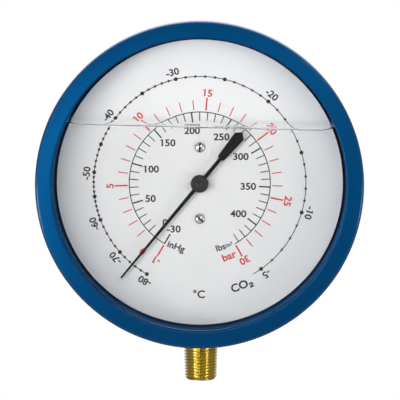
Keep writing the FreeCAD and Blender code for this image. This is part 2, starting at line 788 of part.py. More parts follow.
def bend(wire, start, arc):
    """Solid swept by a section about the pointer axis, clockwise from straight down."""
    face = Part.Face(wire)
    face.rotate(AXIS_POINT, BACKWARD, start)
    return face.revolve(AXIS_POINT, BACKWARD, arc)


def make_bourdon_tube():
    """Hollow flattened tube from the stem block round to its free end."""
    half_width = TUBE_SECTION_WIDTH / 2
    half_height = TUBE_SECTION_HEIGHT / 2
    outside = tube_section(half_width, half_height, TUBE_SECTION_BEVEL)
    bore_half_width = half_width - TUBE_SECTION_BEVEL
    inside = tube_section(bore_half_width, half_height - TUBE_WALL, 0)
    arc = TUBE_END_ANGLE - TUBE_START_ANGLE
    return bend(outside, TUBE_START_ANGLE, arc).cut(bend(inside, TUBE_START_ANGLE, arc))


def make_tube_tip():
    """Cap on the tube's free end, with an ear that reaches inwards to the link."""
    half_height = TUBE_SECTION_HEIGHT / 2 + TIP_RIM
    half_width = TUBE_SECTION_WIDTH / 2 + TIP_RIM
    cap = bend(tube_section(half_width, half_height, TUBE_SECTION_BEVEL), TUBE_END_ANGLE, TIP_ANGLE)
    seat = clockwise((0, -TUBE_RADIUS), TUBE_END_ANGLE + TIP_ANGLE / 2)
    bridge = rod(seat, TIP_BRIDGE_RADIUS, sector_front, -half_width + TIP_RIM)
    ear = belt(
        [(*TIP_PIN, TIP_EAR_RADIUS), (*seat, TIP_BRIDGE_RADIUS)],
        sector_front,
        sector_back,
    )
    tip = cap.fuse(bridge).fuse(ear)
    tip = tip.cut(rod(TIP_PIN, PIN_RADIUS + PRESS_FIT_GAP, sector_front, sector_back))
    return tip.removeSplitter()


def make_stem():
    """One brass piece: taper thread, flats, neck, curved saddle and the block for the tube."""
    thread_top_radius = THREAD_END_RADIUS + THREAD_LENGTH * THREAD_TAPER
    chamfer_radius = THREAD_END_RADIUS + THREAD_CHAMFER * THREAD_TAPER
    neck_top = AXIS_HEIGHT - saddle_radius + SADDLE_THICKNESS / 2
    stem = upright(
        [
            (0, 0),
            (THREAD_END_RADIUS - THREAD_CHAMFER, 0),
            (chamfer_radius, THREAD_CHAMFER),
            (thread_top_radius, THREAD_LENGTH),
            (NECK_RADIUS, THREAD_LENGTH),
            (NECK_RADIUS, neck_top),
            (0, neck_top),
        ]
    )
    stem = cut_spanner_flats(stem)
    saddle = centred_box(saddle_half_width, SADDLE_HALF_DEPTH, 0, saddle_top)
    seat = rod((0, 0), saddle_radius, -SADDLE_HALF_DEPTH, SADDLE_HALF_DEPTH)
    block = centred_box(BLOCK_HALF_WIDTH, BLOCK_HALF_DEPTH, neck_top, block_top)
    rim = [e for e in block.Edges if all(v.Z > neck_top for v in e.Vertexes)]
    block = block.makeChamfer(BLOCK_CHAMFER, rim)
    stem = stem.fuse(saddle.common(seat)).fuse(block)
    tube_seat = tube_section(
        TUBE_SECTION_WIDTH / 2 + SOLDER_GAP,
        TUBE_SECTION_HEIGHT / 2 + SOLDER_GAP,
        TUBE_SECTION_BEVEL,
    )
    stem = stem.cut(bend(tube_seat, TUBE_START_ANGLE, SEAT_ANGLE))
    for cutter in stem_bores():
        stem = stem.cut(cutter)
    for place in MOVEMENT_SCREWS:
        depth = back_plate_back + MOVEMENT_SCREW_LENGTH + END_PLAY
        stem = stem.cut(rod(place, MOVEMENT_SCREW_RADIUS + PRESS_FIT_GAP, back_plate_back, depth))
    for side in (-1, 1):
        stem = stem.cut(stem_screw_shank(PRESS_FIT_GAP, END_PLAY, side))
    return stem.removeSplitter()


def cut_spanner_flats(stem):
    """Two flats on the neck, ending below the collar that fills the case hole."""
    flats_top = THREAD_LENGTH + NECK_LENGTH - FLATS_COLLAR
    waste = centred_box(NECK_RADIUS, NECK_RADIUS, THREAD_LENGTH, flats_top)
    kept = centred_box(NECK_RADIUS, FLATS_ACROSS / 2, THREAD_LENGTH, flats_top)
    return stem.cut(waste.cut(kept))


def stem_bores():
    """Inlet, tapped bore for the restrictor, and the passage up into the tube."""
    passage_top = AXIS_HEIGHT - TUBE_RADIUS
    return [
        Part.makeCylinder(INLET_RADIUS, INLET_DEPTH),
        Part.makeCylinder(RESTRICTOR_RADIUS + RESTRICTOR_BORE_GAP, INLET_DEPTH + RESTRICTOR_DEPTH),
        Part.makeCylinder(PASSAGE_RADIUS, passage_top),
    ]


def make_restrictor_screw():
    """Slotted plug with a fine hole that damps pressure pulses."""
    start = INLET_DEPTH + (RESTRICTOR_DEPTH - RESTRICTOR_LENGTH) / 2
    plug = Part.makeCylinder(RESTRICTOR_RADIUS, RESTRICTOR_LENGTH, V(0, 0, start))
    hole = Part.makeCylinder(RESTRICTOR_HOLE, RESTRICTOR_LENGTH, V(0, 0, start))
    slot = centred_box(RESTRICTOR_RADIUS, RESTRICTOR_SLOT / 2, start, start + RESTRICTOR_SLOT)
    return plug.cut(hole).cut(slot)


def stem_screw_shank(grow, extra, side):
    """Shank of a stem screw, pointing from the case wall towards the pointer axis."""
    length = CASE_SHEET + SADDLE_GASKET + STEM_SCREW_GRIP + extra
    start = V(0, 0, AXIS_HEIGHT - case_outer_radius)
    shank = Part.makeCylinder(STEM_SCREW_RADIUS + grow, length, start, UP)
    shank.rotate(AXIS_POINT, BACKWARD, side * STEM_SCREW_TURN)
    return shank


def make_stem_screws():
    """Cheese-head screws through the case wall into the saddle, one each side of the neck."""
    under_head = AXIS_HEIGHT - case_outer_radius
    head_end = under_head - STEM_SCREW_HEAD
    screws = []
    for side in (-1, 1):
        head = Part.makeCylinder(STEM_SCREW_HEAD_RADIUS, STEM_SCREW_HEAD, V(0, 0, head_end), UP)
        slot = centred_box(
            STEM_SCREW_HEAD_RADIUS, STEM_SCREW_SLOT / 2, head_end, head_end + STEM_SCREW_SLOT
        )
        head = head.cut(slot)
        head.rotate(AXIS_POINT, BACKWARD, side * STEM_SCREW_TURN)
        screws.append(head.fuse(stem_screw_shank(0.0, 0.0, side)).removeSplitter())
    return Part.makeCompound(screws)


def make_stem_gasket():
    """Curved gasket between the stem's saddle and the inside of the case."""
    patch = centred_box(saddle_half_width, SADDLE_HALF_DEPTH, 0, AXIS_HEIGHT)
    gasket = shell_patch(saddle_radius, CASE_INNER_RADIUS, patch)
    gasket = gasket.cut(Part.makeCylinder(NECK_RADIUS + PRESS_FIT_GAP, AXIS_HEIGHT))
    for side in (-1, 1):
        hole = wall_cutter(STEM_SCREW_RADIUS + STEM_SCREW_HOLE_GAP, 0, side * STEM_SCREW_TURN)
        gasket = gasket.cut(hole)
    return gasket


def make_fill_plug():
    """Rubber plug: curved head outside, neck through the wall, lip inside, small nipple."""
    head = shell_patch(
        case_outer_radius,
        case_outer_radius + PLUG_HEAD,
        wall_cutter(PLUG_FLANGE_RADIUS, PLUG_SETBACK, 180),
    )
    neck = shell_patch(
        CASE_INNER_RADIUS,
        case_outer_radius,
        wall_cutter(PLUG_RADIUS - PRESS_FIT_GAP, PLUG_SETBACK, 180),
    )
    lip = shell_patch(
        CASE_INNER_RADIUS - PLUG_LIP,
        CASE_INNER_RADIUS,
        wall_cutter(PLUG_LIP_RADIUS, PLUG_SETBACK, 180),
    )
    nipple_start = V(0, PLUG_SETBACK, AXIS_HEIGHT + case_outer_radius)
    nipple = Part.makeCylinder(PLUG_NIPPLE_RADIUS, PLUG_HEAD + PLUG_NIPPLE, nipple_start)
    return head.fuse(neck).fuse(lip).fuse(nipple).removeSplitter()


PIECES = {
    "case": make_case,
    "bezel_ring": make_bezel_ring,
    "window": make_window,
    "window_gasket": make_window_gasket,
    "dial": make_dial,
    "dial_screws": make_dial_screws,
    "dial_posts": make_dial_posts,
    "pointer": make_pointer,
    "pointer_hub": make_pointer_hub,
    "pinion_arbor": make_pinion_arbor,
    "sector_gear": make_sector_gear,
    "sector_arbor": make_sector_arbor,
    "tail_pin": lambda: make_link_pin(TAIL_PIN),
    "link": make_link,
    "tip_pin": lambda: make_link_pin(TIP_PIN),
    "tube_tip": make_tube_tip,
    "bourdon_tube": make_bourdon_tube,
    "hairspring": make_hairspring,
    "hairspring_collet": make_hairspring_collet,
    "hairspring_stud": make_hairspring_stud,
    "front_plate": make_front_plate,
    "back_plate": make_back_plate,
    "plate_pillars": make_plate_pillars,
    "plate_screws": make_plate_screws,
    "movement_screws": make_movement_screws,
    "stem": make_stem,
    "restrictor_screw": make_restrictor_screw,
    "stem_gasket": make_stem_gasket,
    "stem_screws": make_stem_screws,
    "fill_plug": make_fill_plug,
}

os.makedirs("parts", exist_ok=True)
for name, make in PIECES.items():
    shape = make()
    if not shape.isValid():
        print("not valid:", name)
    print(name, len(shape.Solids), "solid(s)", round(shape.Volume, 2), "mm3")
    shape.exportStep("parts/" + name + ".step")
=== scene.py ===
import json
import math
from collections import namedtuple

import bmesh
import bpy
from mathutils import Matrix, Vector


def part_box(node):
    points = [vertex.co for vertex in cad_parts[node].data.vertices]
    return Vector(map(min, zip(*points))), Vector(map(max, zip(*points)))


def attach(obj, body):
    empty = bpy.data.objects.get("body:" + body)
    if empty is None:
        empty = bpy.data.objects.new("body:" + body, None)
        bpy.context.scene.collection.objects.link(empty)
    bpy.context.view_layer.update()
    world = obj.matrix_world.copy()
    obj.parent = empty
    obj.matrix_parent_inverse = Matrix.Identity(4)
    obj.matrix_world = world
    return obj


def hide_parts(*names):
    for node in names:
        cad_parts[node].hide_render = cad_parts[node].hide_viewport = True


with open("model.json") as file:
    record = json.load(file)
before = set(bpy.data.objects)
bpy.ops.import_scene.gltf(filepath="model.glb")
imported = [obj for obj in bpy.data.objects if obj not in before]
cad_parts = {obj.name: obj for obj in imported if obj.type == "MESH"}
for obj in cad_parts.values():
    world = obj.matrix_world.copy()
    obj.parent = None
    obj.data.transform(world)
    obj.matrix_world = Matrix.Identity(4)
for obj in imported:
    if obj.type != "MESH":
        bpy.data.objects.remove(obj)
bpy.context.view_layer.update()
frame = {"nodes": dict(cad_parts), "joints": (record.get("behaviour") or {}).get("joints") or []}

MM = 0.001


# The case is a cup pressed from steel sheet and enamelled blue all over. Its back
# corner is rounded by the press, its mouth is turned outwards to a flange, and its
# painted inner wall shows as a dark blue strip round the dial.
pointer_joint = next(j for j in frame["joints"] if j["name"] == "pointer_spin")
AXIS = Vector((pointer_joint["pos_m"][0], 0, pointer_joint["pos_m"][2]))
CASE_INNER = 44.7 * MM
CASE_WALL = 1.0 * MM
CASE_BACK_ROUND = 4.2 * MM
FLANGE_ROUND = 0.6 * MM
TURNED_STEPS = 240
ENAMEL_BLUE = (0.0020, 0.0750, 0.2160)
ENAMEL_BLUE_DEEP = (0.0018, 0.0700, 0.2030)
ENAMEL_SHINE = (0.02, 0.32, 1.0, 1.0)
ENAMEL_DRIFT = 60
ENAMEL_GRAIN = 1400
ENAMEL_RELIEF = 0.05
INNER_WALL_GLOSS = 1.0
CASE_GLOSS = 0.40
CASE_GLOSS_SPREAD = 0.06

Finish = namedtuple("Finish", "material nodes links shader scaled grain")


def rounded(corners, steps=8):
    """Closed outline whose (radius, depth, fillet) corners are rounded with arcs."""
    outline = []
    for i, (r, y, fillet) in enumerate(corners):
        corner = Vector((r, y))
        if not fillet:
            outline.append(corner)
            continue
        before = Vector(corners[i - 1][:2]) - corner
        after = Vector(corners[(i + 1) % len(corners)][:2]) - corner
        before.normalize()
        after.normalize()
        half = before.angle(after) / 2
        setback = fillet / math.tan(half)
        centre = corner + (before + after).normalized() * (fillet / math.sin(half))
        first = corner + before * setback - centre
        turn = first.angle_signed(corner + after * setback - centre)
        for k in range(steps + 1):
            arm = Matrix.Rotation(-turn * k / steps, 2) @ first
            outline.append(centre + arm)
    return outline


def turned_mesh(outline, steps=TURNED_STEPS):
    """Closed mesh of an outline of (radius, depth) points, turned about the pointer axis."""
    bm = bmesh.new()
    rings = []
    for radius, y in outline:
        count = 1 if radius < 1e-7 else steps
        ring = []
        for k in range(count):
            angle = 2 * math.pi * k / steps
            place = Vector((radius * math.sin(angle), y, radius * math.cos(angle)))
            ring.append(bm.verts.new(AXIS + place))
        rings.append(ring)
    for i, ring in enumerate(rings):
        next_ring = rings[(i + 1) % len(rings)]
        if len(ring) == 1 and len(next_ring) == 1:
            continue
        for k in range(steps):
            k2 = (k + 1) % steps
            corners = [
                ring[k % len(ring)],
                ring[k2 % len(ring)],
                next_ring[k2 % len(next_ring)],
                next_ring[k % len(next_ring)],
            ]
            bm.faces.new(list(dict.fromkeys(corners)))
    bmesh.ops.recalc_face_normals(bm, faces=bm.faces)
    return bm


def piece_from(name, bm, material, body, crease=35):
    """Scene object from a bmesh: smooth, with sharp edges kept, riding on a body."""
    for face in bm.faces:
        face.smooth = True
    for edge in bm.edges:
        edge.smooth = edge.calc_face_angle(0) < math.radians(crease)
    mesh = bpy.data.meshes.new(name)
    bm.to_mesh(mesh)
    bm.free()
    mesh.materials.append(material)
    piece = bpy.data.objects.new(name, mesh)
    bpy.context.scene.collection.objects.link(piece)
    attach(piece, body)
    return piece


def surface(name, metallic=0.0, roughness=0.5, bump=0.0, bump_scale=2000, stretch=(1, 1, 1)):
    """Material with a Principled shader and a fine noise that roughens it."""
    material = bpy.data.materials.new(name)
    material.use_nodes = True
    nodes = material.node_tree.nodes
    links = material.node_tree.links
    shader = nodes["Principled BSDF"]
    shader.inputs["Metallic"].default_value = metallic
    shader.inputs["Roughness"].default_value = roughness
    place = nodes.new("ShaderNodeTexCoord")
    scaled = nodes.new("ShaderNodeMapping")
    scaled.inputs["Scale"].default_value = stretch
    links.new(place.outputs["Object"], scaled.inputs["Vector"])
    grain = nodes.new("ShaderNodeTexNoise")
    grain.inputs["Scale"].default_value = bump_scale
    grain.inputs["Detail"].default_value = 3
    links.new(scaled.outputs["Vector"], grain.inputs["Vector"])
    relief = nodes.new("ShaderNodeBump")
    relief.inputs["Strength"].default_value = bump
    relief.inputs["Distance"].default_value = 0.1 * MM
    links.new(grain.outputs["Fac"], relief.inputs["Height"])
    links.new(relief.outputs["Normal"], shader.inputs["Normal"])
    return Finish(material, nodes, links, shader, scaled, grain)


def two_tones(parts, colour, other, scale, low=0.35, high=0.65):
    """Base colour that drifts between two tones at a scale in features per metre."""
    material, nodes, links, shader, scaled, grain = parts
    drift = nodes.new("ShaderNodeTexNoise")
    drift.inputs["Scale"].default_value = scale
    drift.inputs["Detail"].default_value = 4
    links.new(scaled.outputs["Vector"], drift.inputs["Vector"])
    ramp = nodes.new("ShaderNodeValToRGB")
    ramp.color_ramp.elements[0].position = low
    ramp.color_ramp.elements[0].color = (*colour, 1)
    ramp.color_ramp.elements[1].position = high
    ramp.color_ramp.elements[1].color = (*other, 1)
    links.new(drift.outputs["Fac"], ramp.inputs["Fac"])
    links.new(ramp.outputs["Color"], shader.inputs["Base Color"])


def uneven_gloss(parts, low, high):
    """Roughness that follows the grain between two values."""
    material, nodes, links, shader, scaled, grain = parts
    spread = nodes.new("ShaderNodeMapRange")
    spread.inputs["To Min"].default_value = low
    spread.inputs["To Max"].default_value = high
    links.new(grain.outputs["Fac"], spread.inputs["Value"])
    links.new(spread.outputs["Result"], shader.inputs["Roughness"])


def reach_from_axis(parts):
    """Distance of the surface's points from the pointer axis, as a node's output."""
    material, nodes, links, shader, scaled, grain = parts
    from_axis = nodes.new("ShaderNodeVectorMath")
    from_axis.operation = "MULTIPLY_ADD"
    from_axis.inputs[1].default_value = (1, 0, 1)
    from_axis.inputs[2].default_value = -AXIS
    links.new(scaled.outputs["Vector"], from_axis.inputs[0])
    reach = nodes.new("ShaderNodeVectorMath")
    reach.operation = "LENGTH"
    links.new(from_axis.outputs["Vector"], reach.inputs[0])
    return reach.outputs["Value"]


# The wall inside is wetted by the filling, so it has no shine of its own.
case_parts = surface("case_enamel_paint", bump=ENAMEL_RELIEF, bump_scale=ENAMEL_GRAIN)
two_tones(case_parts, ENAMEL_BLUE, ENAMEL_BLUE_DEEP, ENAMEL_DRIFT)
case_enamel, nodes, links, shader, scaled, grain = case_parts
shader.inputs["Specular Tint"].default_value = ENAMEL_SHINE
inside = nodes.new("ShaderNodeMapRange")
inside.inputs["From Min"].default_value = CASE_INNER
inside.inputs["From Max"].default_value = CASE_INNER + CASE_WALL
inside.inputs["To Min"].default_value = INNER_WALL_GLOSS
inside.inputs["To Max"].default_value = CASE_GLOSS
links.new(reach_from_axis(case_parts), inside.inputs["Value"])
gloss = nodes.new("ShaderNodeMath")
gloss.operation = "MULTIPLY_ADD"
gloss.inputs[1].default_value = CASE_GLOSS_SPREAD
links.new(grain.outputs["Fac"], gloss.inputs[0])
links.new(inside.outputs["Result"], gloss.inputs[2])
links.new(gloss.outputs["Value"], shader.inputs["Roughness"])

case_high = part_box("case")[1]
gasket_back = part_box("window_gasket")[1].y
flange_radius = case_high.x
flange_back = gasket_back + CASE_WALL
case_outline = rounded(
    [
        (0, case_high.y, 0),
        (CASE_INNER + CASE_WALL, case_high.y, CASE_BACK_ROUND),
        (CASE_INNER + CASE_WALL, flange_back, FLANGE_ROUND),
        (flange_radius, flange_back, 0),
        (flange_radius, gasket_back, 0),
        (CASE_INNER, gasket_back, FLANGE_ROUND),
        (CASE_INNER, case_high.y - CASE_WALL, CASE_BACK_ROUND - CASE_WALL),
        (0, case_high.y - CASE_WALL, 0),
    ]
)
pressed_case = piece_from(
    "pressed_case", turned_mesh(case_outline), case_enamel, "housing"
)
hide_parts("case")


# The movement sits inside the closed case: brass plates, sector and link, a bronze
# tube and hairspring, and steel arbors, pins and screws. Nothing of it shows, so the
# solids stay and only take their metals.
BRASS_BRIGHT = (0.600, 0.400, 0.085)
BRASS_DULL = (0.470, 0.300, 0.055)
BRONZE = (0.56, 0.32, 0.16)
BRONZE_DULL = (0.47, 0.25, 0.12)
STEEL = (0.58, 0.58, 0.59)
STEEL_DULL = (0.48, 0.48, 0.49)

brass_parts = surface("milled_brass", metallic=1.0, bump=0.04, bump_scale=3000)
two_tones(brass_parts, BRASS_BRIGHT, BRASS_DULL, scale=300)
uneven_gloss(brass_parts, low=0.20, high=0.34)
bronze_parts = surface("drawn_bronze", metallic=1.0, bump=0.04, bump_scale=2500)
two_tones(bronze_parts, BRONZE, BRONZE_DULL, scale=200)
uneven_gloss(bronze_parts, low=0.25, high=0.38)
steel_parts = surface("plated_steel", metallic=1.0, bump=0.03, bump_scale=4000)
two_tones(steel_parts, STEEL, STEEL_DULL, scale=400)
uneven_gloss(steel_parts, low=0.22, high=0.34)


def finish_nodes(names, material):
    """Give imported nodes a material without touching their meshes."""
    for name in names:
        for slot in frame["nodes"][name].material_slots:
            slot.material = material


finish_nodes(
    [
        "front_plate",
        "back_plate",
        "plate_pillars",
        "dial_posts",
        "sector_gear",
        "link",
        "tube_tip",
        "hairspring_collet",
        "hairspring_stud",
        "restrictor_screw",
    ],
    brass_parts.material,
)
finish_nodes(["bourdon_tube", "hairspring"], bronze_parts.material)
finish_nodes(
    [
        "plate_screws",
        "movement_screws",
        "stem_screws",
        "pinion_arbor",
        "sector_arbor",
        "tail_pin",
        "tip_pin",
    ],
    steel_parts.material,
)


# The dial is a thin aluminium disc stamped from sheet, with a baked matt white enamel
# that is a little uneven in tone. It lies on the two posts of the movement.
DIAL_WHITE = (0.852, 0.852, 0.850)
DIAL_WHITE_SOFT = (0.838, 0.838, 0.837)
DIAL_SHINE = 0.25

dial_parts = surface("white_dial_enamel", bump=0.05, bump_scale=3500)
two_tones(dial_parts, DIAL_WHITE, DIAL_WHITE_SOFT, scale=90)
uneven_gloss(dial_parts, low=0.50, high=0.62)
dial_parts.shader.inputs["Specular IOR Level"].default_value = DIAL_SHINE
finish_nodes(["dial"], dial_parts.material)


# The scales are printed on the dial in two inks. Black: a ring with pressure marks
# inside it, their upright numbers, and an outer ring of temperature dots. Red: a
# second pressure scale outside the black ring. Only numbers and unit signs are drawn.
INK_THICKNESS = 0.015 * MM
INK_BLACK = (0.0100, 0.0110, 0.0115)
INK_BLACK_THIN = (0.0160, 0.0170, 0.0175)
INK_RED = (0.640, 0.027, 0.020)
INK_RED_THIN = (0.690, 0.040, 0.030)
SCALE_START = 30.0
SCALE_END = 330.0
BAR_START, BAR_END = -1, 30
DEGREES_PER_BAR = (SCALE_END - SCALE_START) / (BAR_END - BAR_START)
ZERO_ANGLE = SCALE_START - BAR_START * DEGREES_PER_BAR
PSI_PER_BAR = 14.504
PSI_STEP, PSI_MAJOR, PSI_LAST = 10, 50, 430
PRESSURE_RING = 21.6 * MM
RING_LINE = 0.30 * MM
PSI_TICK = (2.8 * MM, 0.30 * MM)
PSI_MAJOR_TICK = (3.4 * MM, 0.44 * MM)
PSI_NUMBER_HEIGHT = 2.06 * MM
PSI_NUMBER_WIDTH = 1.11
PSI_NUMBER_PLACES = {
    -30: (27.6, 16.0),
    0: (41.0, 16.2),
    50: (72.4, 15.8),
    100: (106.0, 15.5),
    150: (141.6, 15.8),
    200: (171.7, 16.3),
    250: (205.1, 15.7),
    300: (236.9, 15.0),
    350: (273.8, 14.9),
    400: (308.6, 15.1),
}
BAR_MAJOR = 5
BAR_TICK = (22.25 * MM, 25.3 * MM, 0.32 * MM)
BAR_MAJOR_TICK = (22.1 * MM, 26.1 * MM, 0.48 * MM)
BAR_NUMBER_RING = 27.5 * MM
BAR_NUMBER_HEIGHT = 2.1 * MM
TEMPERATURE_RING = 32.5 * MM
TEMPERATURE_LINE = 0.26 * MM
TEMPERATURE_NUMBER_RING = 34.8 * MM
TEMPERATURE_NUMBER_HEIGHT = 2.05 * MM
SMALL_DOT, LARGE_DOT = 0.40 * MM, 0.62 * MM
DOT_SIDES = 24
COLDEST, WARMEST = -80, -5
EVERY_DEGREE_FROM = -60
TEMPERATURE_ANGLES = {
    -80: 30.0,
    -70: 49.0,
    -60: 69.5,
    -50: 95.8,
    -40: 127.2,
    -30: 166.9,
    -20: 220.2,
    -10: 286.1,
    -5: 324.6,
}
TEMPERATURE_LINE_END = 329.8
UNIT_SIGNS = (
    ("inHg", 20.1, 21.2 * MM, 1.95 * MM, "black"),
    ("lbs", -18.0, 20.8 * MM, 1.90 * MM, "black"),
    ("/in²", -25.3, 21.0 * MM, 1.15 * MM, "black"),
    ("bar", -21.9, 24.2 * MM, 2.2 * MM, "red"),
    ("CO₂", -22.3, 34.3 * MM, 2.4 * MM, "black"),
    ("°C", 0.4, 34.3 * MM, 2.3 * MM, "black"),
)
DIGIT_HEIGHT = 0.70
MINUS_WIDTH = 0.32
TYPE_WEIGHT = 0.038
TYPE_WIDTH = 1.06
FLAG = (0.15, 0.13, 0.09)
dial_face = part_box("dial")[0].y


def outward(angle):
    """Unit vector from the pointer axis, at degrees clockwise from straight down."""
    turn = math.radians(angle)
    return Vector((-math.sin(turn), 0, -math.cos(turn)))


def clockwise_of(up):
    """Unit vector a quarter turn clockwise from another, seen from the front."""
    return Vector((up.z, 0, -up.x))


class Ink:
    """One colour's print, gathered as thin closed shapes on the dial's face."""

    def __init__(self):
        self.bm = bmesh.new()

    def patch(self, points):
        """A flat shape from points in order round its edge, with the ink's thickness."""
        front = [self.bm.verts.new(p + Vector((0, dial_face - INK_THICKNESS, 0))) for p in points]
        back = [self.bm.verts.new(p + Vector((0, dial_face, 0))) for p in points]
        self.bm.faces.new(front)
        self.bm.faces.new(back[::-1])
        for i in range(len(points)):
            j = (i + 1) % len(points)
            self.bm.faces.new([front[i], back[i], back[j], front[j]])

    def tick(self, angle, start, end, width):
        out = outward(angle)
        side = clockwise_of(out) * width / 2
        self.patch(
            [
                AXIS + out * start - side,
                AXIS + out * end - side,
                AXIS + out * end + side,
                AXIS + out * start + side,
            ]
        )

    def dot(self, angle, ring, radius):
        centre = AXIS + outward(angle) * ring
        corners = [outward(-360 * k / DOT_SIDES) for k in range(DOT_SIDES)]
        self.patch([centre + corner * radius for corner in corners])

    def arc(self, start, end, ring, width):
        """Line round the pointer axis, in steps of about a degree."""
        steps = round(end - start)
        rows = []
        for k in range(steps + 1):
            out = outward(start + (end - start) * k / steps)
            rows.append((AXIS + out * (ring - width / 2), AXIS + out * (ring + width / 2)))
        for inner_outer, following in zip(rows, rows[1:]):
            self.patch([inner_outer[0], inner_outer[1], following[1], following[0]])

    def text(self, words, out, ring, up, height, width=TYPE_WIDTH):
        """Words in Blender's own type, centred on a circle; a minus sign hangs in front.

        A leading 1 is a plain bar in this type, so it gets the printed one's small flag.
        """
        curve = bpy.data.curves.new("type", "FONT")
        curve.body = words
        curve.size = height / DIGIT_HEIGHT
        curve.align_x = "CENTER"
        curve.align_y = "CENTER"
        curve.offset = TYPE_WEIGHT * height
        curve.extrude = INK_THICKNESS / 2
        curve.resolution_u = 4
        holder = bpy.data.objects.new("type", curve)
        bpy.context.scene.collection.objects.link(holder)
        bpy.context.view_layer.update()
        mesh = bpy.data.meshes.new_from_object(holder)
        xs = [v.co.x for v in mesh.vertices]
        ys = [v.co.y for v in mesh.vertices]
        start = min(xs)
        if words[0] == "-":
            start = min(x for x in xs if x > min(xs) + MINUS_WIDTH * curve.size)
        flagged = words.lstrip("-")[0] == "1"
        if flagged:
            reach, drop, thick = (share * curve.size for share in FLAG)
            top = max(ys)
            flag = [
                (start, top),
                (start - reach, top - drop),
                (start - reach, top - drop - thick),
                (start, top - thick),
            ]
            start -= reach
        middle = Vector(((start + max(xs)) / 2, (min(ys) + max(ys)) / 2, 0))
        right = clockwise_of(up)
        turn = Matrix((right, up, Vector((0, -1, 0)))).transposed().to_4x4()
        widen = Matrix.Diagonal((width, 1, 1, 1))
        place = AXIS + out * ring + Vector((0, dial_face - INK_THICKNESS / 2, 0))
        mesh.transform(Matrix.Translation(place) @ turn @ widen @ Matrix.Translation(-middle))
        if flagged:
            centre = AXIS + out * ring
            self.patch(
                [
                    centre + right * (x - middle.x) * width + up * (y - middle.y)
                    for x, y in flag
                ]
            )
        self.bm.from_mesh(mesh)
        bpy.data.objects.remove(holder)
        bpy.data.curves.remove(curve)
        bpy.data.meshes.remove(mesh)

    def piece(self, name, material):
        bmesh.ops.recalc_face_normals(self.bm, faces=self.bm.faces)
        return piece_from(name, self.bm, material, "housing")


black_ink, red_ink = Ink(), Ink()


def psi_angle(psi):
    return ZERO_ANGLE + psi / PSI_PER_BAR * DEGREES_PER_BAR


def temperature_angle(celsius):
    """Angle on the temperature ring, straight between the printed tens."""
    known = sorted(TEMPERATURE_ANGLES)
    upper = next(t for t in known[1:] if celsius <= t)
    lower = known[known.index(upper) - 1]
    share = (celsius - lower) / (upper - lower)
    return TEMPERATURE_ANGLES[lower] + share * (TEMPERATURE_ANGLES[upper] - TEMPERATURE_ANGLES[lower])


black_ink.arc(SCALE_START, SCALE_END, PRESSURE_RING, RING_LINE)
black_ink.tick(SCALE_START, PRESSURE_RING - PSI_MAJOR_TICK[0], PRESSURE_RING, PSI_MAJOR_TICK[1])
for psi in range(0, PSI_LAST + 1, PSI_STEP):
    length, width = PSI_TICK if psi % PSI_MAJOR else PSI_MAJOR_TICK
    black_ink.tick(psi_angle(psi), PRESSURE_RING - length, PRESSURE_RING, width)
for psi, (angle, ring) in PSI_NUMBER_PLACES.items():
    black_ink.text(
        str(psi), outward(angle), ring * MM, Vector((0, 0, 1)), PSI_NUMBER_HEIGHT, PSI_NUMBER_WIDTH
    )

for bar in range(BAR_START, BAR_END + 1):
    angle = ZERO_ANGLE + bar * DEGREES_PER_BAR
    numbered = bar % BAR_MAJOR == 0 or bar == BAR_START
    start, end, width = BAR_MAJOR_TICK if numbered else BAR_TICK
    red_ink.tick(angle, start, end, width)
    if numbered:
        out = outward(angle)
        red_ink.text(str(bar), out, BAR_NUMBER_RING, out, BAR_NUMBER_HEIGHT)

black_ink.arc(SCALE_START, TEMPERATURE_LINE_END, TEMPERATURE_RING, TEMPERATURE_LINE)
for celsius in range(COLDEST, WARMEST + 1):
    coarse = celsius < EVERY_DEGREE_FROM
    if coarse and celsius % 2:
        continue
    large = celsius % (10 if coarse else 5) == 0
    black_ink.dot(temperature_angle(celsius), TEMPERATURE_RING, LARGE_DOT if large else SMALL_DOT)
    if celsius in TEMPERATURE_ANGLES:
        out = outward(temperature_angle(celsius))
        black_ink.text(
            str(celsius), out, TEMPERATURE_NUMBER_RING, out, TEMPERATURE_NUMBER_HEIGHT
        )

for words, angle, ring, height, ink in UNIT_SIGNS:
    out = outward(angle)
    chosen = red_ink if ink == "red" else black_ink
    chosen.text(words, out, ring, -out, height)

black_parts = surface("black_printing_ink", roughness=0.55, bump=0.03, bump_scale=5000)
two_tones(black_parts, INK_BLACK, INK_BLACK_THIN, scale=1500)
red_parts = surface("red_printing_ink", roughness=0.55, bump=0.03, bump_scale=5000)
two_tones(red_parts, INK_RED, INK_RED_THIN, scale=1500)
black_ink.piece("dial_print_black", black_parts.material)
red_ink.piece("dial_print_red", red_parts.material)


# Two nickel-plated screws hold the dial on its posts, one above and one below the
# pointer. Their heads are slightly domed with a rounded rim, and their slots were left
# where the screws came to a stop. Shade is painted into the slots, darker towards
# their floors.
SLOT_WIDTH = 0.55 * MM
SCREW_HEAD_RADIUS = 1.6 * MM
SCREW_HEAD = 1.0 * MM
SCREW_DOME = 0.32 * MM
SCREW_EDGE = 0.30 * MM
SCREW_SLOT_DEPTH = 0.62 * MM
SCREW_OFFSET = 11.0 * MM
SCREW_TURNS = {1: 92.0, -1: 42.0}
SCREW_STEPS = 20
NICKEL = (0.80, 0.79, 0.77)
NICKEL_DULL = (0.66, 0.65, 0.63)
# The share of the nickel's colour that the painted shade leaves on a slot's floor.
SLOT_PAINTED_SHADE = 0.22

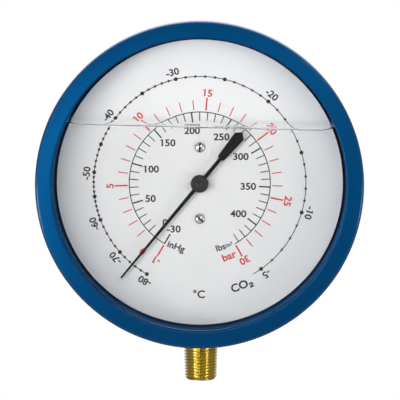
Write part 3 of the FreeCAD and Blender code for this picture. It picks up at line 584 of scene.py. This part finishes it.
nickel_parts = surface("nickel_plate", metallic=1.0, bump=0.05, bump_scale=3500)
two_tones(nickel_parts, NICKEL, NICKEL_DULL, scale=900)
uneven_gloss(nickel_parts, low=0.14, high=0.24)
nickel, nodes, links, shader = nickel_parts[:4]
# Painted shade: the nickel's colour darkens with depth down each slot and is darkest on the slot's
# floor.
place = nodes.new("ShaderNodeTexCoord")
depth = nodes.new("ShaderNodeSeparateXYZ")
links.new(place.outputs["Object"], depth.inputs["Vector"])
slot_shade_mask = nodes.new("ShaderNodeMapRange")
slot_shade_mask.inputs["From Min"].default_value = dial_face - SCREW_HEAD + SCREW_DOME
slot_shade_mask.inputs["From Max"].default_value = dial_face - SCREW_HEAD + SCREW_SLOT_DEPTH
slot_shade_mask.inputs["To Min"].default_value = 1.0
slot_shade_mask.inputs["To Max"].default_value = SLOT_PAINTED_SHADE
links.new(depth.outputs["Y"], slot_shade_mask.inputs["Value"])
slot_shaded_colour = nodes.new("ShaderNodeVectorMath")
slot_shaded_colour.operation = "SCALE"
links.new(shader.inputs["Base Color"].links[0].from_socket, slot_shaded_colour.inputs[0])
links.new(slot_shade_mask.outputs["Result"], slot_shaded_colour.inputs["Scale"])
links.new(slot_shaded_colour.outputs["Vector"], shader.inputs["Base Color"])


def screw_head_depth(radius):
    """Depth of the domed head behind its middle, with a rounded rim."""
    depth = SCREW_DOME * (radius / SCREW_HEAD_RADIUS) ** 2
    past = (radius - SCREW_HEAD_RADIUS + SCREW_EDGE) / SCREW_EDGE
    if past > 0:
        depth += SCREW_EDGE * (1 - math.sqrt(max(1 - past**2, 0)))
    return depth


def slotted_head(bm, centre, turn):
    """Closed domed head with a slot, from columns of points along the slot."""
    across = Vector((math.sin(turn), 0, math.cos(turn)))
    along = Vector((math.cos(turn), 0, -math.sin(turn)))
    half_slot = SLOT_WIDTH / 2
    side = [
        half_slot + (SCREW_HEAD_RADIUS - half_slot) * math.sin(math.pi / 2 * i / SCREW_STEPS)
        for i in range(SCREW_STEPS + 1)
    ]
    columns = [(-x, 0.0) for x in reversed(side)]
    columns += [(-half_slot, SCREW_SLOT_DEPTH), (half_slot, SCREW_SLOT_DEPTH)]
    columns += [(x, 0.0) for x in side]
    fronts, backs = [], []
    for x, slot_depth in columns:
        half_chord = math.sqrt(max(SCREW_HEAD_RADIUS**2 - x**2, 0))
        fronts.append([])
        backs.append([])
        for j in range(SCREW_STEPS + 1):
            z = -half_chord * math.cos(math.pi * j / SCREW_STEPS)
            spot = centre + across * x + along * z
            depth = max(slot_depth, screw_head_depth(math.hypot(x, z)))
            fronts[-1].append(bm.verts.new(spot + Vector((0, dial_face - SCREW_HEAD + depth, 0))))
            backs[-1].append(bm.verts.new(spot + Vector((0, dial_face, 0))))
    last = len(columns) - 1
    for i in range(last):
        for j in range(SCREW_STEPS):
            for rows in (fronts, backs):
                bm.faces.new([rows[i][j], rows[i][j + 1], rows[i + 1][j + 1], rows[i + 1][j]])
        for j in (0, SCREW_STEPS):
            bm.faces.new([fronts[i][j], fronts[i + 1][j], backs[i + 1][j], backs[i][j]])
    bmesh.ops.remove_doubles(bm, verts=bm.verts, dist=1e-8)


screws = bmesh.new()
for side, turn in SCREW_TURNS.items():
    slotted_head(screws, AXIS + Vector((0, 0, side * SCREW_OFFSET)), math.radians(turn))
bmesh.ops.recalc_face_normals(screws, faces=screws.faces)
dial_screw_heads = piece_from("dial_screw_heads", screws, nickel, "housing")
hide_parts("dial_screws")


# The pointer is a thin blade stamped from aluminium and anodised satin black. Its
# cap is a turned knob with a rounded edge and a shallow dimple where it is riveted.
POINTER_BLACK = (0.0060, 0.0062, 0.0065)
POINTER_BLACK_WORN = (0.0100, 0.0102, 0.0105)
HUB_EDGE_ROUND = 0.75 * MM
HUB_DIMPLE = 0.9 * MM
HUB_DIMPLE_DEPTH = 0.25 * MM
HUB_DIMPLE_FOOT_ROUND = 0.12 * MM
HUB_DIMPLE_EDGE_ROUND = 0.15 * MM
HUB_STEPS = 96
BUSH_RADIUS = 2.0 * MM
POINTER_SHINE = 0.12
CAP_SHINE = 0.25
CAP_BLACK = (0.0200, 0.0203, 0.0207)
CAP_BLACK_WORN = (0.0300, 0.0303, 0.0307)

pointer_parts = surface("satin_black_anodising", bump=0.04, bump_scale=3000)
two_tones(pointer_parts, POINTER_BLACK, POINTER_BLACK_WORN, scale=500)
uneven_gloss(pointer_parts, low=0.34, high=0.44)
pointer_parts.shader.inputs["Specular IOR Level"].default_value = POINTER_SHINE
finish_nodes(["pointer"], pointer_parts.material)

cap_parts = surface("satin_black_cap", bump=0.04, bump_scale=3000)
two_tones(cap_parts, CAP_BLACK, CAP_BLACK_WORN, scale=500)
uneven_gloss(cap_parts, low=0.30, high=0.40)
cap_parts.shader.inputs["Specular IOR Level"].default_value = CAP_SHINE

hub_low, hub_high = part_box("pointer_hub")
hub_radius = hub_high.x
blade_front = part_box("pointer")[0].y
hub_outline = rounded(
    [
        (0, hub_low.y + HUB_DIMPLE_DEPTH, 0),
        (HUB_DIMPLE, hub_low.y + HUB_DIMPLE_DEPTH, HUB_DIMPLE_FOOT_ROUND),
        (HUB_DIMPLE + HUB_DIMPLE_DEPTH, hub_low.y, HUB_DIMPLE_EDGE_ROUND),
        (hub_radius, hub_low.y, HUB_EDGE_ROUND),
        (hub_radius, blade_front, 0),
        (BUSH_RADIUS, blade_front, 0),
        (BUSH_RADIUS, hub_high.y, 0),
        (0, hub_high.y, 0),
    ]
)
pointer_cap = piece_from(
    "pointer_cap",
    turned_mesh(hub_outline, HUB_STEPS),
    cap_parts.material,
    "pointer_assembly",
)
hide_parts("pointer_hub")


# Glycerine fills the case up to an air bubble. It climbs the window, the dial and the
# case wall a little, so that its surface is a shallow trough with turned-up ends.
LIQUID_GAP = 0.03 * MM
LIQUID_CONTACT = 0.05 * MM
LEVEL = 17.35 * MM
LEVEL_TILT = -0.024
FRONT_CLIMB = 0.50 * MM
FRONT_CLIMB_REACH = 0.35 * MM
BACK_CLIMB = 2.4 * MM
BACK_CLIMB_REACH = 1.2 * MM
WALL_CLIMB = 2.2 * MM
WALL_CLIMB_REACH = 1.3 * MM
LIQUID_COLUMNS = 260
LIQUID_ROWS = 28
LIQUID_TINT = (1.0, 1.0, 0.998)
GLYCERINE_IOR = 1.47
GLASS_IOR = 1.52
GLASS_TINT = (0.990, 0.992, 0.991)
FAINT_HAZE = 0.004


def clear_material(name, tint, ior):
    """Clear body that refracts what is seen through it and lets lamps through."""
    parts = surface(name, roughness=0.0, bump=0.0)
    material, nodes, links, shader, scaled, grain = parts
    shader.inputs["Base Color"].default_value = (*tint, 1)
    shader.inputs["Transmission Weight"].default_value = 1.0
    shader.inputs["IOR"].default_value = ior
    for link in list(shader.inputs["Normal"].links):
        links.remove(link)
    spread = nodes.new("ShaderNodeMapRange")
    spread.inputs["To Min"].default_value = 0.0
    spread.inputs["To Max"].default_value = FAINT_HAZE
    links.new(grain.outputs["Fac"], spread.inputs["Value"])
    links.new(spread.outputs["Result"], shader.inputs["Roughness"])
    path = nodes.new("ShaderNodeLightPath")
    through = nodes.new("ShaderNodeBsdfTransparent")
    through.inputs["Color"].default_value = (*tint, 1)
    choice = nodes.new("ShaderNodeMixShader")
    links.new(path.outputs["Is Shadow Ray"], choice.inputs["Fac"])
    links.new(shader.outputs["BSDF"], choice.inputs[1])
    links.new(through.outputs["BSDF"], choice.inputs[2])
    links.new(choice.outputs["Shader"], nodes["Material Output"].inputs["Surface"])
    return material


glycerine = clear_material("glycerine", LIQUID_TINT, GLYCERINE_IOR)
window_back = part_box("window")[1].y
liquid_front = window_back + LIQUID_GAP
liquid_back = dial_face + LIQUID_CONTACT
liquid_radius = CASE_INNER + LIQUID_CONTACT


def liquid_top(x, y):
    """Height of the surface over the pointer axis, with its climb at every wall."""
    height = LEVEL + LEVEL_TILT * x
    height += FRONT_CLIMB * math.exp(-(y - liquid_front) / FRONT_CLIMB_REACH)
    height += BACK_CLIMB * math.exp(-(liquid_back - y) / BACK_CLIMB_REACH)
    wall = math.sqrt(liquid_radius**2 - LEVEL**2) - abs(x)
    height += WALL_CLIMB * math.exp(-max(wall, 0) / WALL_CLIMB_REACH)
    return min(height, math.sqrt(max(liquid_radius**2 - x**2, 0)))


liquid = bmesh.new()
tops, floors = [], []
for i in range(LIQUID_COLUMNS + 1):
    x = liquid_radius * math.sin(math.pi * (i / LIQUID_COLUMNS - 0.5))
    bottom = -math.sqrt(max(liquid_radius**2 - x**2, 0))
    top_row, floor_row = [], []
    for j in range(LIQUID_ROWS + 1):
        share = (1 - math.cos(math.pi * j / LIQUID_ROWS)) / 2
        y = liquid_front + (liquid_back - liquid_front) * share
        top_row.append(liquid.verts.new(AXIS + Vector((x, y, liquid_top(x, y)))))
        floor_row.append(liquid.verts.new(AXIS + Vector((x, y, bottom))))
    tops.append(top_row)
    floors.append(floor_row)
for i in range(LIQUID_COLUMNS):
    for j in range(LIQUID_ROWS):
        liquid.faces.new([tops[i][j], tops[i + 1][j], tops[i + 1][j + 1], tops[i][j + 1]])
        liquid.faces.new([floors[i][j], floors[i][j + 1], floors[i + 1][j + 1], floors[i + 1][j]])
    for j in (0, LIQUID_ROWS):
        liquid.faces.new([tops[i][j], floors[i][j], floors[i + 1][j], tops[i + 1][j]])
for i in (0, LIQUID_COLUMNS):
    for j in range(LIQUID_ROWS):
        liquid.faces.new([tops[i][j], floors[i][j], floors[i][j + 1], tops[i][j + 1]])
bmesh.ops.remove_doubles(liquid, verts=liquid.verts, dist=1e-7)
bmesh.ops.recalc_face_normals(liquid, faces=liquid.faces)
piece_from("glycerine_fill", liquid, glycerine, "housing", crease=50)


# The window is a flat disc of float glass. A flat rubber ring behind its edge seals it
# on the flange. The plug of the filling hole and the gasket of the stem are moulded
# from the same black rubber.
window_glass = clear_material("window_glass", GLASS_TINT, GLASS_IOR)
finish_nodes(["window"], window_glass)

RUBBER = (0.012, 0.012, 0.013)
RUBBER_DUSTY = (0.020, 0.020, 0.021)
rubber_parts = surface("black_rubber_moulding", bump=0.12, bump_scale=2500)
two_tones(rubber_parts, RUBBER, RUBBER_DUSTY, scale=200)
uneven_gloss(rubber_parts, low=0.55, high=0.70)
finish_nodes(["window_gasket", "stem_gasket", "fill_plug"], rubber_parts.material)


# The bezel ring is pressed from steel sheet, with a face that falls away a little to
# the outside, and is rolled in behind the case flange. Its blue enamel is satin on the
# face and glossy over the rounded outer edge.
RING_OPENING = 44.9 * MM
RING_FACE_FALL = 1.0 * MM
RING_INNER_ROUND = 0.45 * MM
RING_OUTER_ROUND = 0.9 * MM
RING_BACK_ROUND = 0.6 * MM
RING_WALL = 1.0 * MM
RING_CRIMP = 1.8 * MM
RING_SHEEN = 0.48
FACE_GLOSS = (0.38, 0.46)
EDGE_GLOSS = 0.12

ring_low, ring_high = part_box("bezel_ring")
ring_radius = ring_high.z - AXIS.z

ring_parts = surface(
    "ring_enamel_paint", metallic=RING_SHEEN, bump=ENAMEL_RELIEF, bump_scale=ENAMEL_GRAIN
)
two_tones(ring_parts, ENAMEL_BLUE, ENAMEL_BLUE_DEEP, ENAMEL_DRIFT)
uneven_gloss(ring_parts, *FACE_GLOSS)
ring_enamel, nodes, links, shader, scaled, grain = ring_parts
shader.inputs["Specular Tint"].default_value = ENAMEL_SHINE
shader.inputs["Coat Roughness"].default_value = EDGE_GLOSS
edge = nodes.new("ShaderNodeMapRange")
edge.inputs["From Min"].default_value = ring_radius - RING_OUTER_ROUND
edge.inputs["From Max"].default_value = ring_radius - RING_OUTER_ROUND / 2
links.new(reach_from_axis(ring_parts), edge.inputs["Value"])
links.new(edge.outputs["Result"], shader.inputs["Coat Weight"])

window_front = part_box("window")[0].y
ring_outline = rounded(
    [
        (RING_OPENING, window_front, 0),
        (RING_OPENING, ring_low.y, RING_INNER_ROUND),
        (ring_radius, ring_low.y + RING_FACE_FALL, RING_OUTER_ROUND),
        (ring_radius, ring_high.y, RING_BACK_ROUND),
        (ring_radius - RING_WALL - RING_CRIMP, ring_high.y, 0),
        (ring_radius - RING_WALL - RING_CRIMP, ring_high.y - RING_WALL, 0),
        (ring_radius - RING_WALL, ring_high.y - RING_WALL, 0),
        (ring_radius - RING_WALL, window_front, 0),
    ]
)
pressed_ring = piece_from(
    "pressed_bezel_ring", turned_mesh(ring_outline), ring_enamel, "housing"
)
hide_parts("bezel_ring")


# The stem is turned from one brass bar. Its end carries a taper thread, 1 in 16, that
# fades out under the neck. The neck with its flats, the saddle and the block behind
# the case wall keep the shape of the solid.
THREAD_PITCH = 0.941 * MM
THREAD_DEPTH = 0.72 * MM
THREAD_LENGTH = 11.0 * MM
THREAD_END_RADIUS = 4.995 * MM
THREAD_TAPER = 1 / 32
THREAD_CHAMFER = 0.7 * MM
THREAD_FADE = 1.2 * MM
CREST_FLAT = 0.26
ROOT_FLAT = 0.22
THREAD_STEPS = 96
THREAD_ROWS_PER_PITCH = 16
CUT_ABOVE_THREAD = 0.02 * MM
INLET_RADIUS = 2.0 * MM
INLET_DEPTH = 3.0 * MM
THREAD_BRASS = (0.770, 0.600, 0.085)
THREAD_BRASS_DULL = (0.710, 0.540, 0.070)
OIL_FILM = 1.0
OIL_GLOSS = 0.15
TURNED_STRETCH = (0.15, 0.15, 6)

thread_parts = surface(
    "turned_brass", metallic=1.0, bump=0.04, bump_scale=700, stretch=TURNED_STRETCH
)
two_tones(thread_parts, THREAD_BRASS, THREAD_BRASS_DULL, scale=150)
uneven_gloss(thread_parts, low=0.20, high=0.26)
thread_parts.shader.inputs["Coat Weight"].default_value = OIL_FILM
thread_parts.shader.inputs["Coat Roughness"].default_value = OIL_GLOSS


def thread_radius(angle, z):
    """Radius of the threaded surface at an angle and a height over the stem's end."""
    crest = THREAD_END_RADIUS + z * THREAD_TAPER
    phase = (z / THREAD_PITCH - angle / (2 * math.pi)) % 1.0
    from_root = abs(phase - 0.5) * 2
    height = (from_root - ROOT_FLAT) / (1 - ROOT_FLAT - CREST_FLAT)
    height = min(max(height, 0.0), 1.0)
    fade = min(1.0, max(0.0, (THREAD_LENGTH - z) / THREAD_FADE))
    radius = crest - THREAD_DEPTH * (1 - height) * fade
    chamfer = THREAD_END_RADIUS - THREAD_CHAMFER + z
    return min(radius, chamfer)


stem_bm = bmesh.new()
stem_bm.from_mesh(frame["nodes"]["stem"].data)
bmesh.ops.remove_doubles(stem_bm, verts=stem_bm.verts, dist=1e-6)
bmesh.ops.bisect_plane(
    stem_bm,
    geom=stem_bm.verts[:] + stem_bm.edges[:] + stem_bm.faces[:],
    plane_co=(0, 0, THREAD_LENGTH + CUT_ABOVE_THREAD),
    plane_no=(0, 0, 1),
    clear_inner=True,
)
open_edges = [e for e in stem_bm.edges if e.is_boundary]
bmesh.ops.triangle_fill(stem_bm, edges=open_edges, use_beauty=True)

rows = round(THREAD_LENGTH / THREAD_PITCH * THREAD_ROWS_PER_PITCH)
rings = []
inlet = [(INLET_RADIUS, INLET_DEPTH), (INLET_RADIUS, 0.0)]
for radius, z in inlet:
    rings.append([(radius, z)] * THREAD_STEPS)
for row in range(rows + 1):
    z = THREAD_LENGTH * row / rows
    rings.append(
        [(thread_radius(2 * math.pi * k / THREAD_STEPS, z), z) for k in range(THREAD_STEPS)]
    )
rings.append([(INLET_RADIUS, THREAD_LENGTH)] * THREAD_STEPS)
verts = []
for ring in rings:
    verts.append([])
    for k, (radius, z) in enumerate(ring):
        angle = 2 * math.pi * k / THREAD_STEPS
        verts[-1].append(
            stem_bm.verts.new((radius * math.cos(angle), radius * math.sin(angle), z))
        )
for i in range(len(verts)):
    after = verts[(i + 1) % len(verts)]
    for k in range(THREAD_STEPS):
        k2 = (k + 1) % THREAD_STEPS
        stem_bm.faces.new([verts[i][k], verts[i][k2], after[k2], after[k]])
bmesh.ops.recalc_face_normals(stem_bm, faces=stem_bm.faces)
threaded_stem = piece_from(
    "threaded_stem", stem_bm, thread_parts.material, "housing", crease=28
)
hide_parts("stem")


# The studio: a white paper sweep lies low behind the gauge and rises far behind it. Two
# soft lamps and two low strip lamps stand in front. The room is brighter above, behind and
# over the table, and black about the camera, so that the window keeps its depth.
SWEEP_LEVEL = -0.11
SWEEP_FRONT, SWEEP_BACK, SWEEP_TOP = 0.40, 1.9, 2.6
SWEEP_ROUND = 0.6
SWEEP_STEPS = 16
SWEEP_HALF_WIDTH = 0.26
PAPER_WHITE = (0.80, 0.80, 0.80)
ROOM_LEVEL = 0.25
CEILING_LEVEL = 0.37
CEILING_START, CEILING_FULL = 0.45, 0.80
TABLE_LEVEL, TABLE_REAR_LEVEL = 0.46, 0.10
TABLE_START, TABLE_FULL = -0.20, -0.45
REAR_LEVEL = 3.0
REAR_START, REAR_FULL = -0.20, 0.25
REAR_LOW, REAR_HIGH = 0.35, 0.75
DARK_LEVEL = 0.04
DARK_START, DARK_FULL = 0.955, 0.975
DARK_CENTRE = Vector((-0.014, -0.994, -0.106))

sweep = bmesh.new()
profile = [(SWEEP_FRONT, SWEEP_LEVEL)]
for k in range(SWEEP_STEPS + 1):
    turn = math.radians(90 * k / SWEEP_STEPS)
    profile.append(
        (
            SWEEP_BACK - SWEEP_ROUND * (1 - math.sin(turn)),
            SWEEP_LEVEL + SWEEP_ROUND * (1 - math.cos(turn)),
        )
    )
profile.append((SWEEP_BACK, SWEEP_TOP))
left = [sweep.verts.new((-SWEEP_HALF_WIDTH, y, z)) for y, z in profile]
right = [sweep.verts.new((SWEEP_HALF_WIDTH, y, z)) for y, z in profile]
for i in range(len(profile) - 1):
    face = sweep.faces.new([left[i], right[i], right[i + 1], left[i + 1]])
    face.smooth = True
sweep_mesh = bpy.data.meshes.new("paper_sweep")
sweep.to_mesh(sweep_mesh)
sweep.free()
paper_sweep = bpy.data.objects.new("paper_sweep", sweep_mesh)
bpy.context.scene.collection.objects.link(paper_sweep)

paper_parts = surface("sweep_paper", roughness=0.9, bump=0.02, bump_scale=400)
two_tones(paper_parts, PAPER_WHITE, PAPER_WHITE, scale=20)
paper, nodes, links, shader = paper_parts[:4]
path = nodes.new("ShaderNodeLightPath")
seen = nodes.new("ShaderNodeMath")
seen.operation = "MAXIMUM"
links.new(path.outputs["Is Camera Ray"], seen.inputs[0])
links.new(path.outputs["Is Glossy Ray"], seen.inputs[1])
seen_through = nodes.new("ShaderNodeMath")
seen_through.operation = "MAXIMUM"
links.new(seen.outputs["Value"], seen_through.inputs[0])
links.new(path.outputs["Is Transmission Ray"], seen_through.inputs[1])
glow = nodes.new("ShaderNodeEmission")
glow.inputs["Color"].default_value = (1, 1, 1, 1)
glow.inputs["Strength"].default_value = 1.0
blend = nodes.new("ShaderNodeMixShader")
links.new(seen_through.outputs["Value"], blend.inputs["Fac"])
links.new(shader.outputs["BSDF"], blend.inputs[1])
links.new(glow.outputs["Emission"], blend.inputs[2])
links.new(blend.outputs["Shader"], nodes["Material Output"].inputs["Surface"])
sweep_mesh.materials.append(paper)

world = bpy.data.worlds.new("studio_room")
bpy.context.scene.world = world
world.use_nodes = True
nodes, links = world.node_tree.nodes, world.node_tree.links
room = nodes["Background"]
room.inputs["Color"].default_value = (1, 1, 1, 1)
direction = nodes.new("ShaderNodeTexCoord")
parts_of = nodes.new("ShaderNodeSeparateXYZ")
links.new(direction.outputs["Generated"], parts_of.inputs["Vector"])


def level_along(source, start, end, low, high):
    """Value that runs between two levels while a part of the direction runs between two."""
    node = nodes.new("ShaderNodeMapRange")
    node.inputs["From Min"].default_value = start
    node.inputs["From Max"].default_value = end
    node.inputs["To Min"].default_value = low
    node.inputs["To Max"].default_value = high
    links.new(parts_of.outputs[source], node.inputs["Value"])
    return node.outputs["Result"]


def combined(operation, first, second):
    """Two levels put together by one step of arithmetic."""
    node = nodes.new("ShaderNodeMath")
    node.operation = operation
    links.new(first, node.inputs[0])
    links.new(second, node.inputs[1])
    return node.outputs["Value"]


overhead = level_along("Z", CEILING_START, CEILING_FULL, ROOM_LEVEL, CEILING_LEVEL)
behind = level_along("Y", REAR_START, REAR_FULL, 0, REAR_LEVEL)
behind_and_high = combined("MULTIPLY", behind, level_along("Z", REAR_LOW, REAR_HIGH, 0, 1))
table = level_along("Y", REAR_START, REAR_FULL, TABLE_LEVEL, TABLE_REAR_LEVEL)
with_table = nodes.new("ShaderNodeMix")
links.new(level_along("Z", TABLE_START, TABLE_FULL, 0, 1), with_table.inputs["Factor"])
links.new(combined("ADD", overhead, behind_and_high), with_table.inputs["A"])
links.new(table, with_table.inputs["B"])
towards_front = nodes.new("ShaderNodeVectorMath")
towards_front.operation = "DOT_PRODUCT"
towards_front.inputs[1].default_value = DARK_CENTRE
links.new(direction.outputs["Generated"], towards_front.inputs[0])
darkness = nodes.new("ShaderNodeMapRange")
darkness.inputs["From Min"].default_value = DARK_START
darkness.inputs["From Max"].default_value = DARK_FULL
darkness.inputs["To Min"].default_value = 1.0
darkness.inputs["To Max"].default_value = DARK_LEVEL / ROOM_LEVEL
links.new(towards_front.outputs["Value"], darkness.inputs["Value"])
links.new(
    combined("MULTIPLY", with_table.outputs["Result"], darkness.outputs["Result"]),
    room.inputs["Strength"],
)

# Each lamp: degrees to the right, degrees above the axis, its size in metres, its watts.
LAMP_DISTANCE = 1.0
LAMPS = {
    "left_lamp": (-20.0, 2.5, (0.34, 0.19), 1.80),
    "right_lamp": (16.0, 13.0, (0.28, 0.20), 0.96),
    "left_strip": (-41.0, -11.0, (0.30, 0.16), 1.70),
    "right_strip": (48.5, -11.0, (0.24, 0.16), 1.02),
}
for name, (turn, rise, (width, height), power) in LAMPS.items():
    lamp = bpy.data.lights.new(name, "AREA")
    lamp.shape = "RECTANGLE"
    lamp.size = width
    lamp.size_y = height
    lamp.energy = power
    turn, rise = math.radians(turn), math.radians(rise)
    out = math.cos(rise)
    arm = Vector((math.sin(turn) * out, -math.cos(turn) * out, math.sin(rise)))
    holder = bpy.data.objects.new(name, lamp)
    holder.location = AXIS + arm * LAMP_DISTANCE
    holder.rotation_euler = arm.to_track_quat("Z", "Y").to_euler()
    bpy.context.scene.collection.objects.link(holder)


# The camera is a long lens, six degrees above the dial's middle and a touch to its
# right, aimed a little under the middle so that the stem is in the frame.
CAMERA_DISTANCE = 0.92
CAMERA_ELEVATION = math.radians(6.5)
CAMERA_RIGHT = math.radians(0.8)
PIXELS_PER_MM = 3.2974
FRAME_PIXELS = 400
SENSOR_WIDTH = 36.0
AIM_RIGHT, AIM_DROP = 0.21 * MM, 4.11 * MM
AIM = Vector((AIM_RIGHT, ring_low.y, AXIS.z - AIM_DROP))

camera_data = bpy.data.cameras.new("camera")
camera_data.sensor_width = SENSOR_WIDTH
camera_data.lens = PIXELS_PER_MM * SENSOR_WIDTH / FRAME_PIXELS * CAMERA_DISTANCE / MM
camera = bpy.data.objects.new("camera", camera_data)
camera.location = AIM + CAMERA_DISTANCE * Vector(
    (
        math.sin(CAMERA_RIGHT) * math.cos(CAMERA_ELEVATION),
        -math.cos(CAMERA_RIGHT) * math.cos(CAMERA_ELEVATION),
        math.sin(CAMERA_ELEVATION),
    )
)
camera.rotation_euler = (AIM - camera.location).to_track_quat("-Z", "Y").to_euler()
bpy.context.scene.collection.objects.link(camera)
bpy.context.scene.camera = camera
bpy.context.scene.view_settings.view_transform = "Standard"
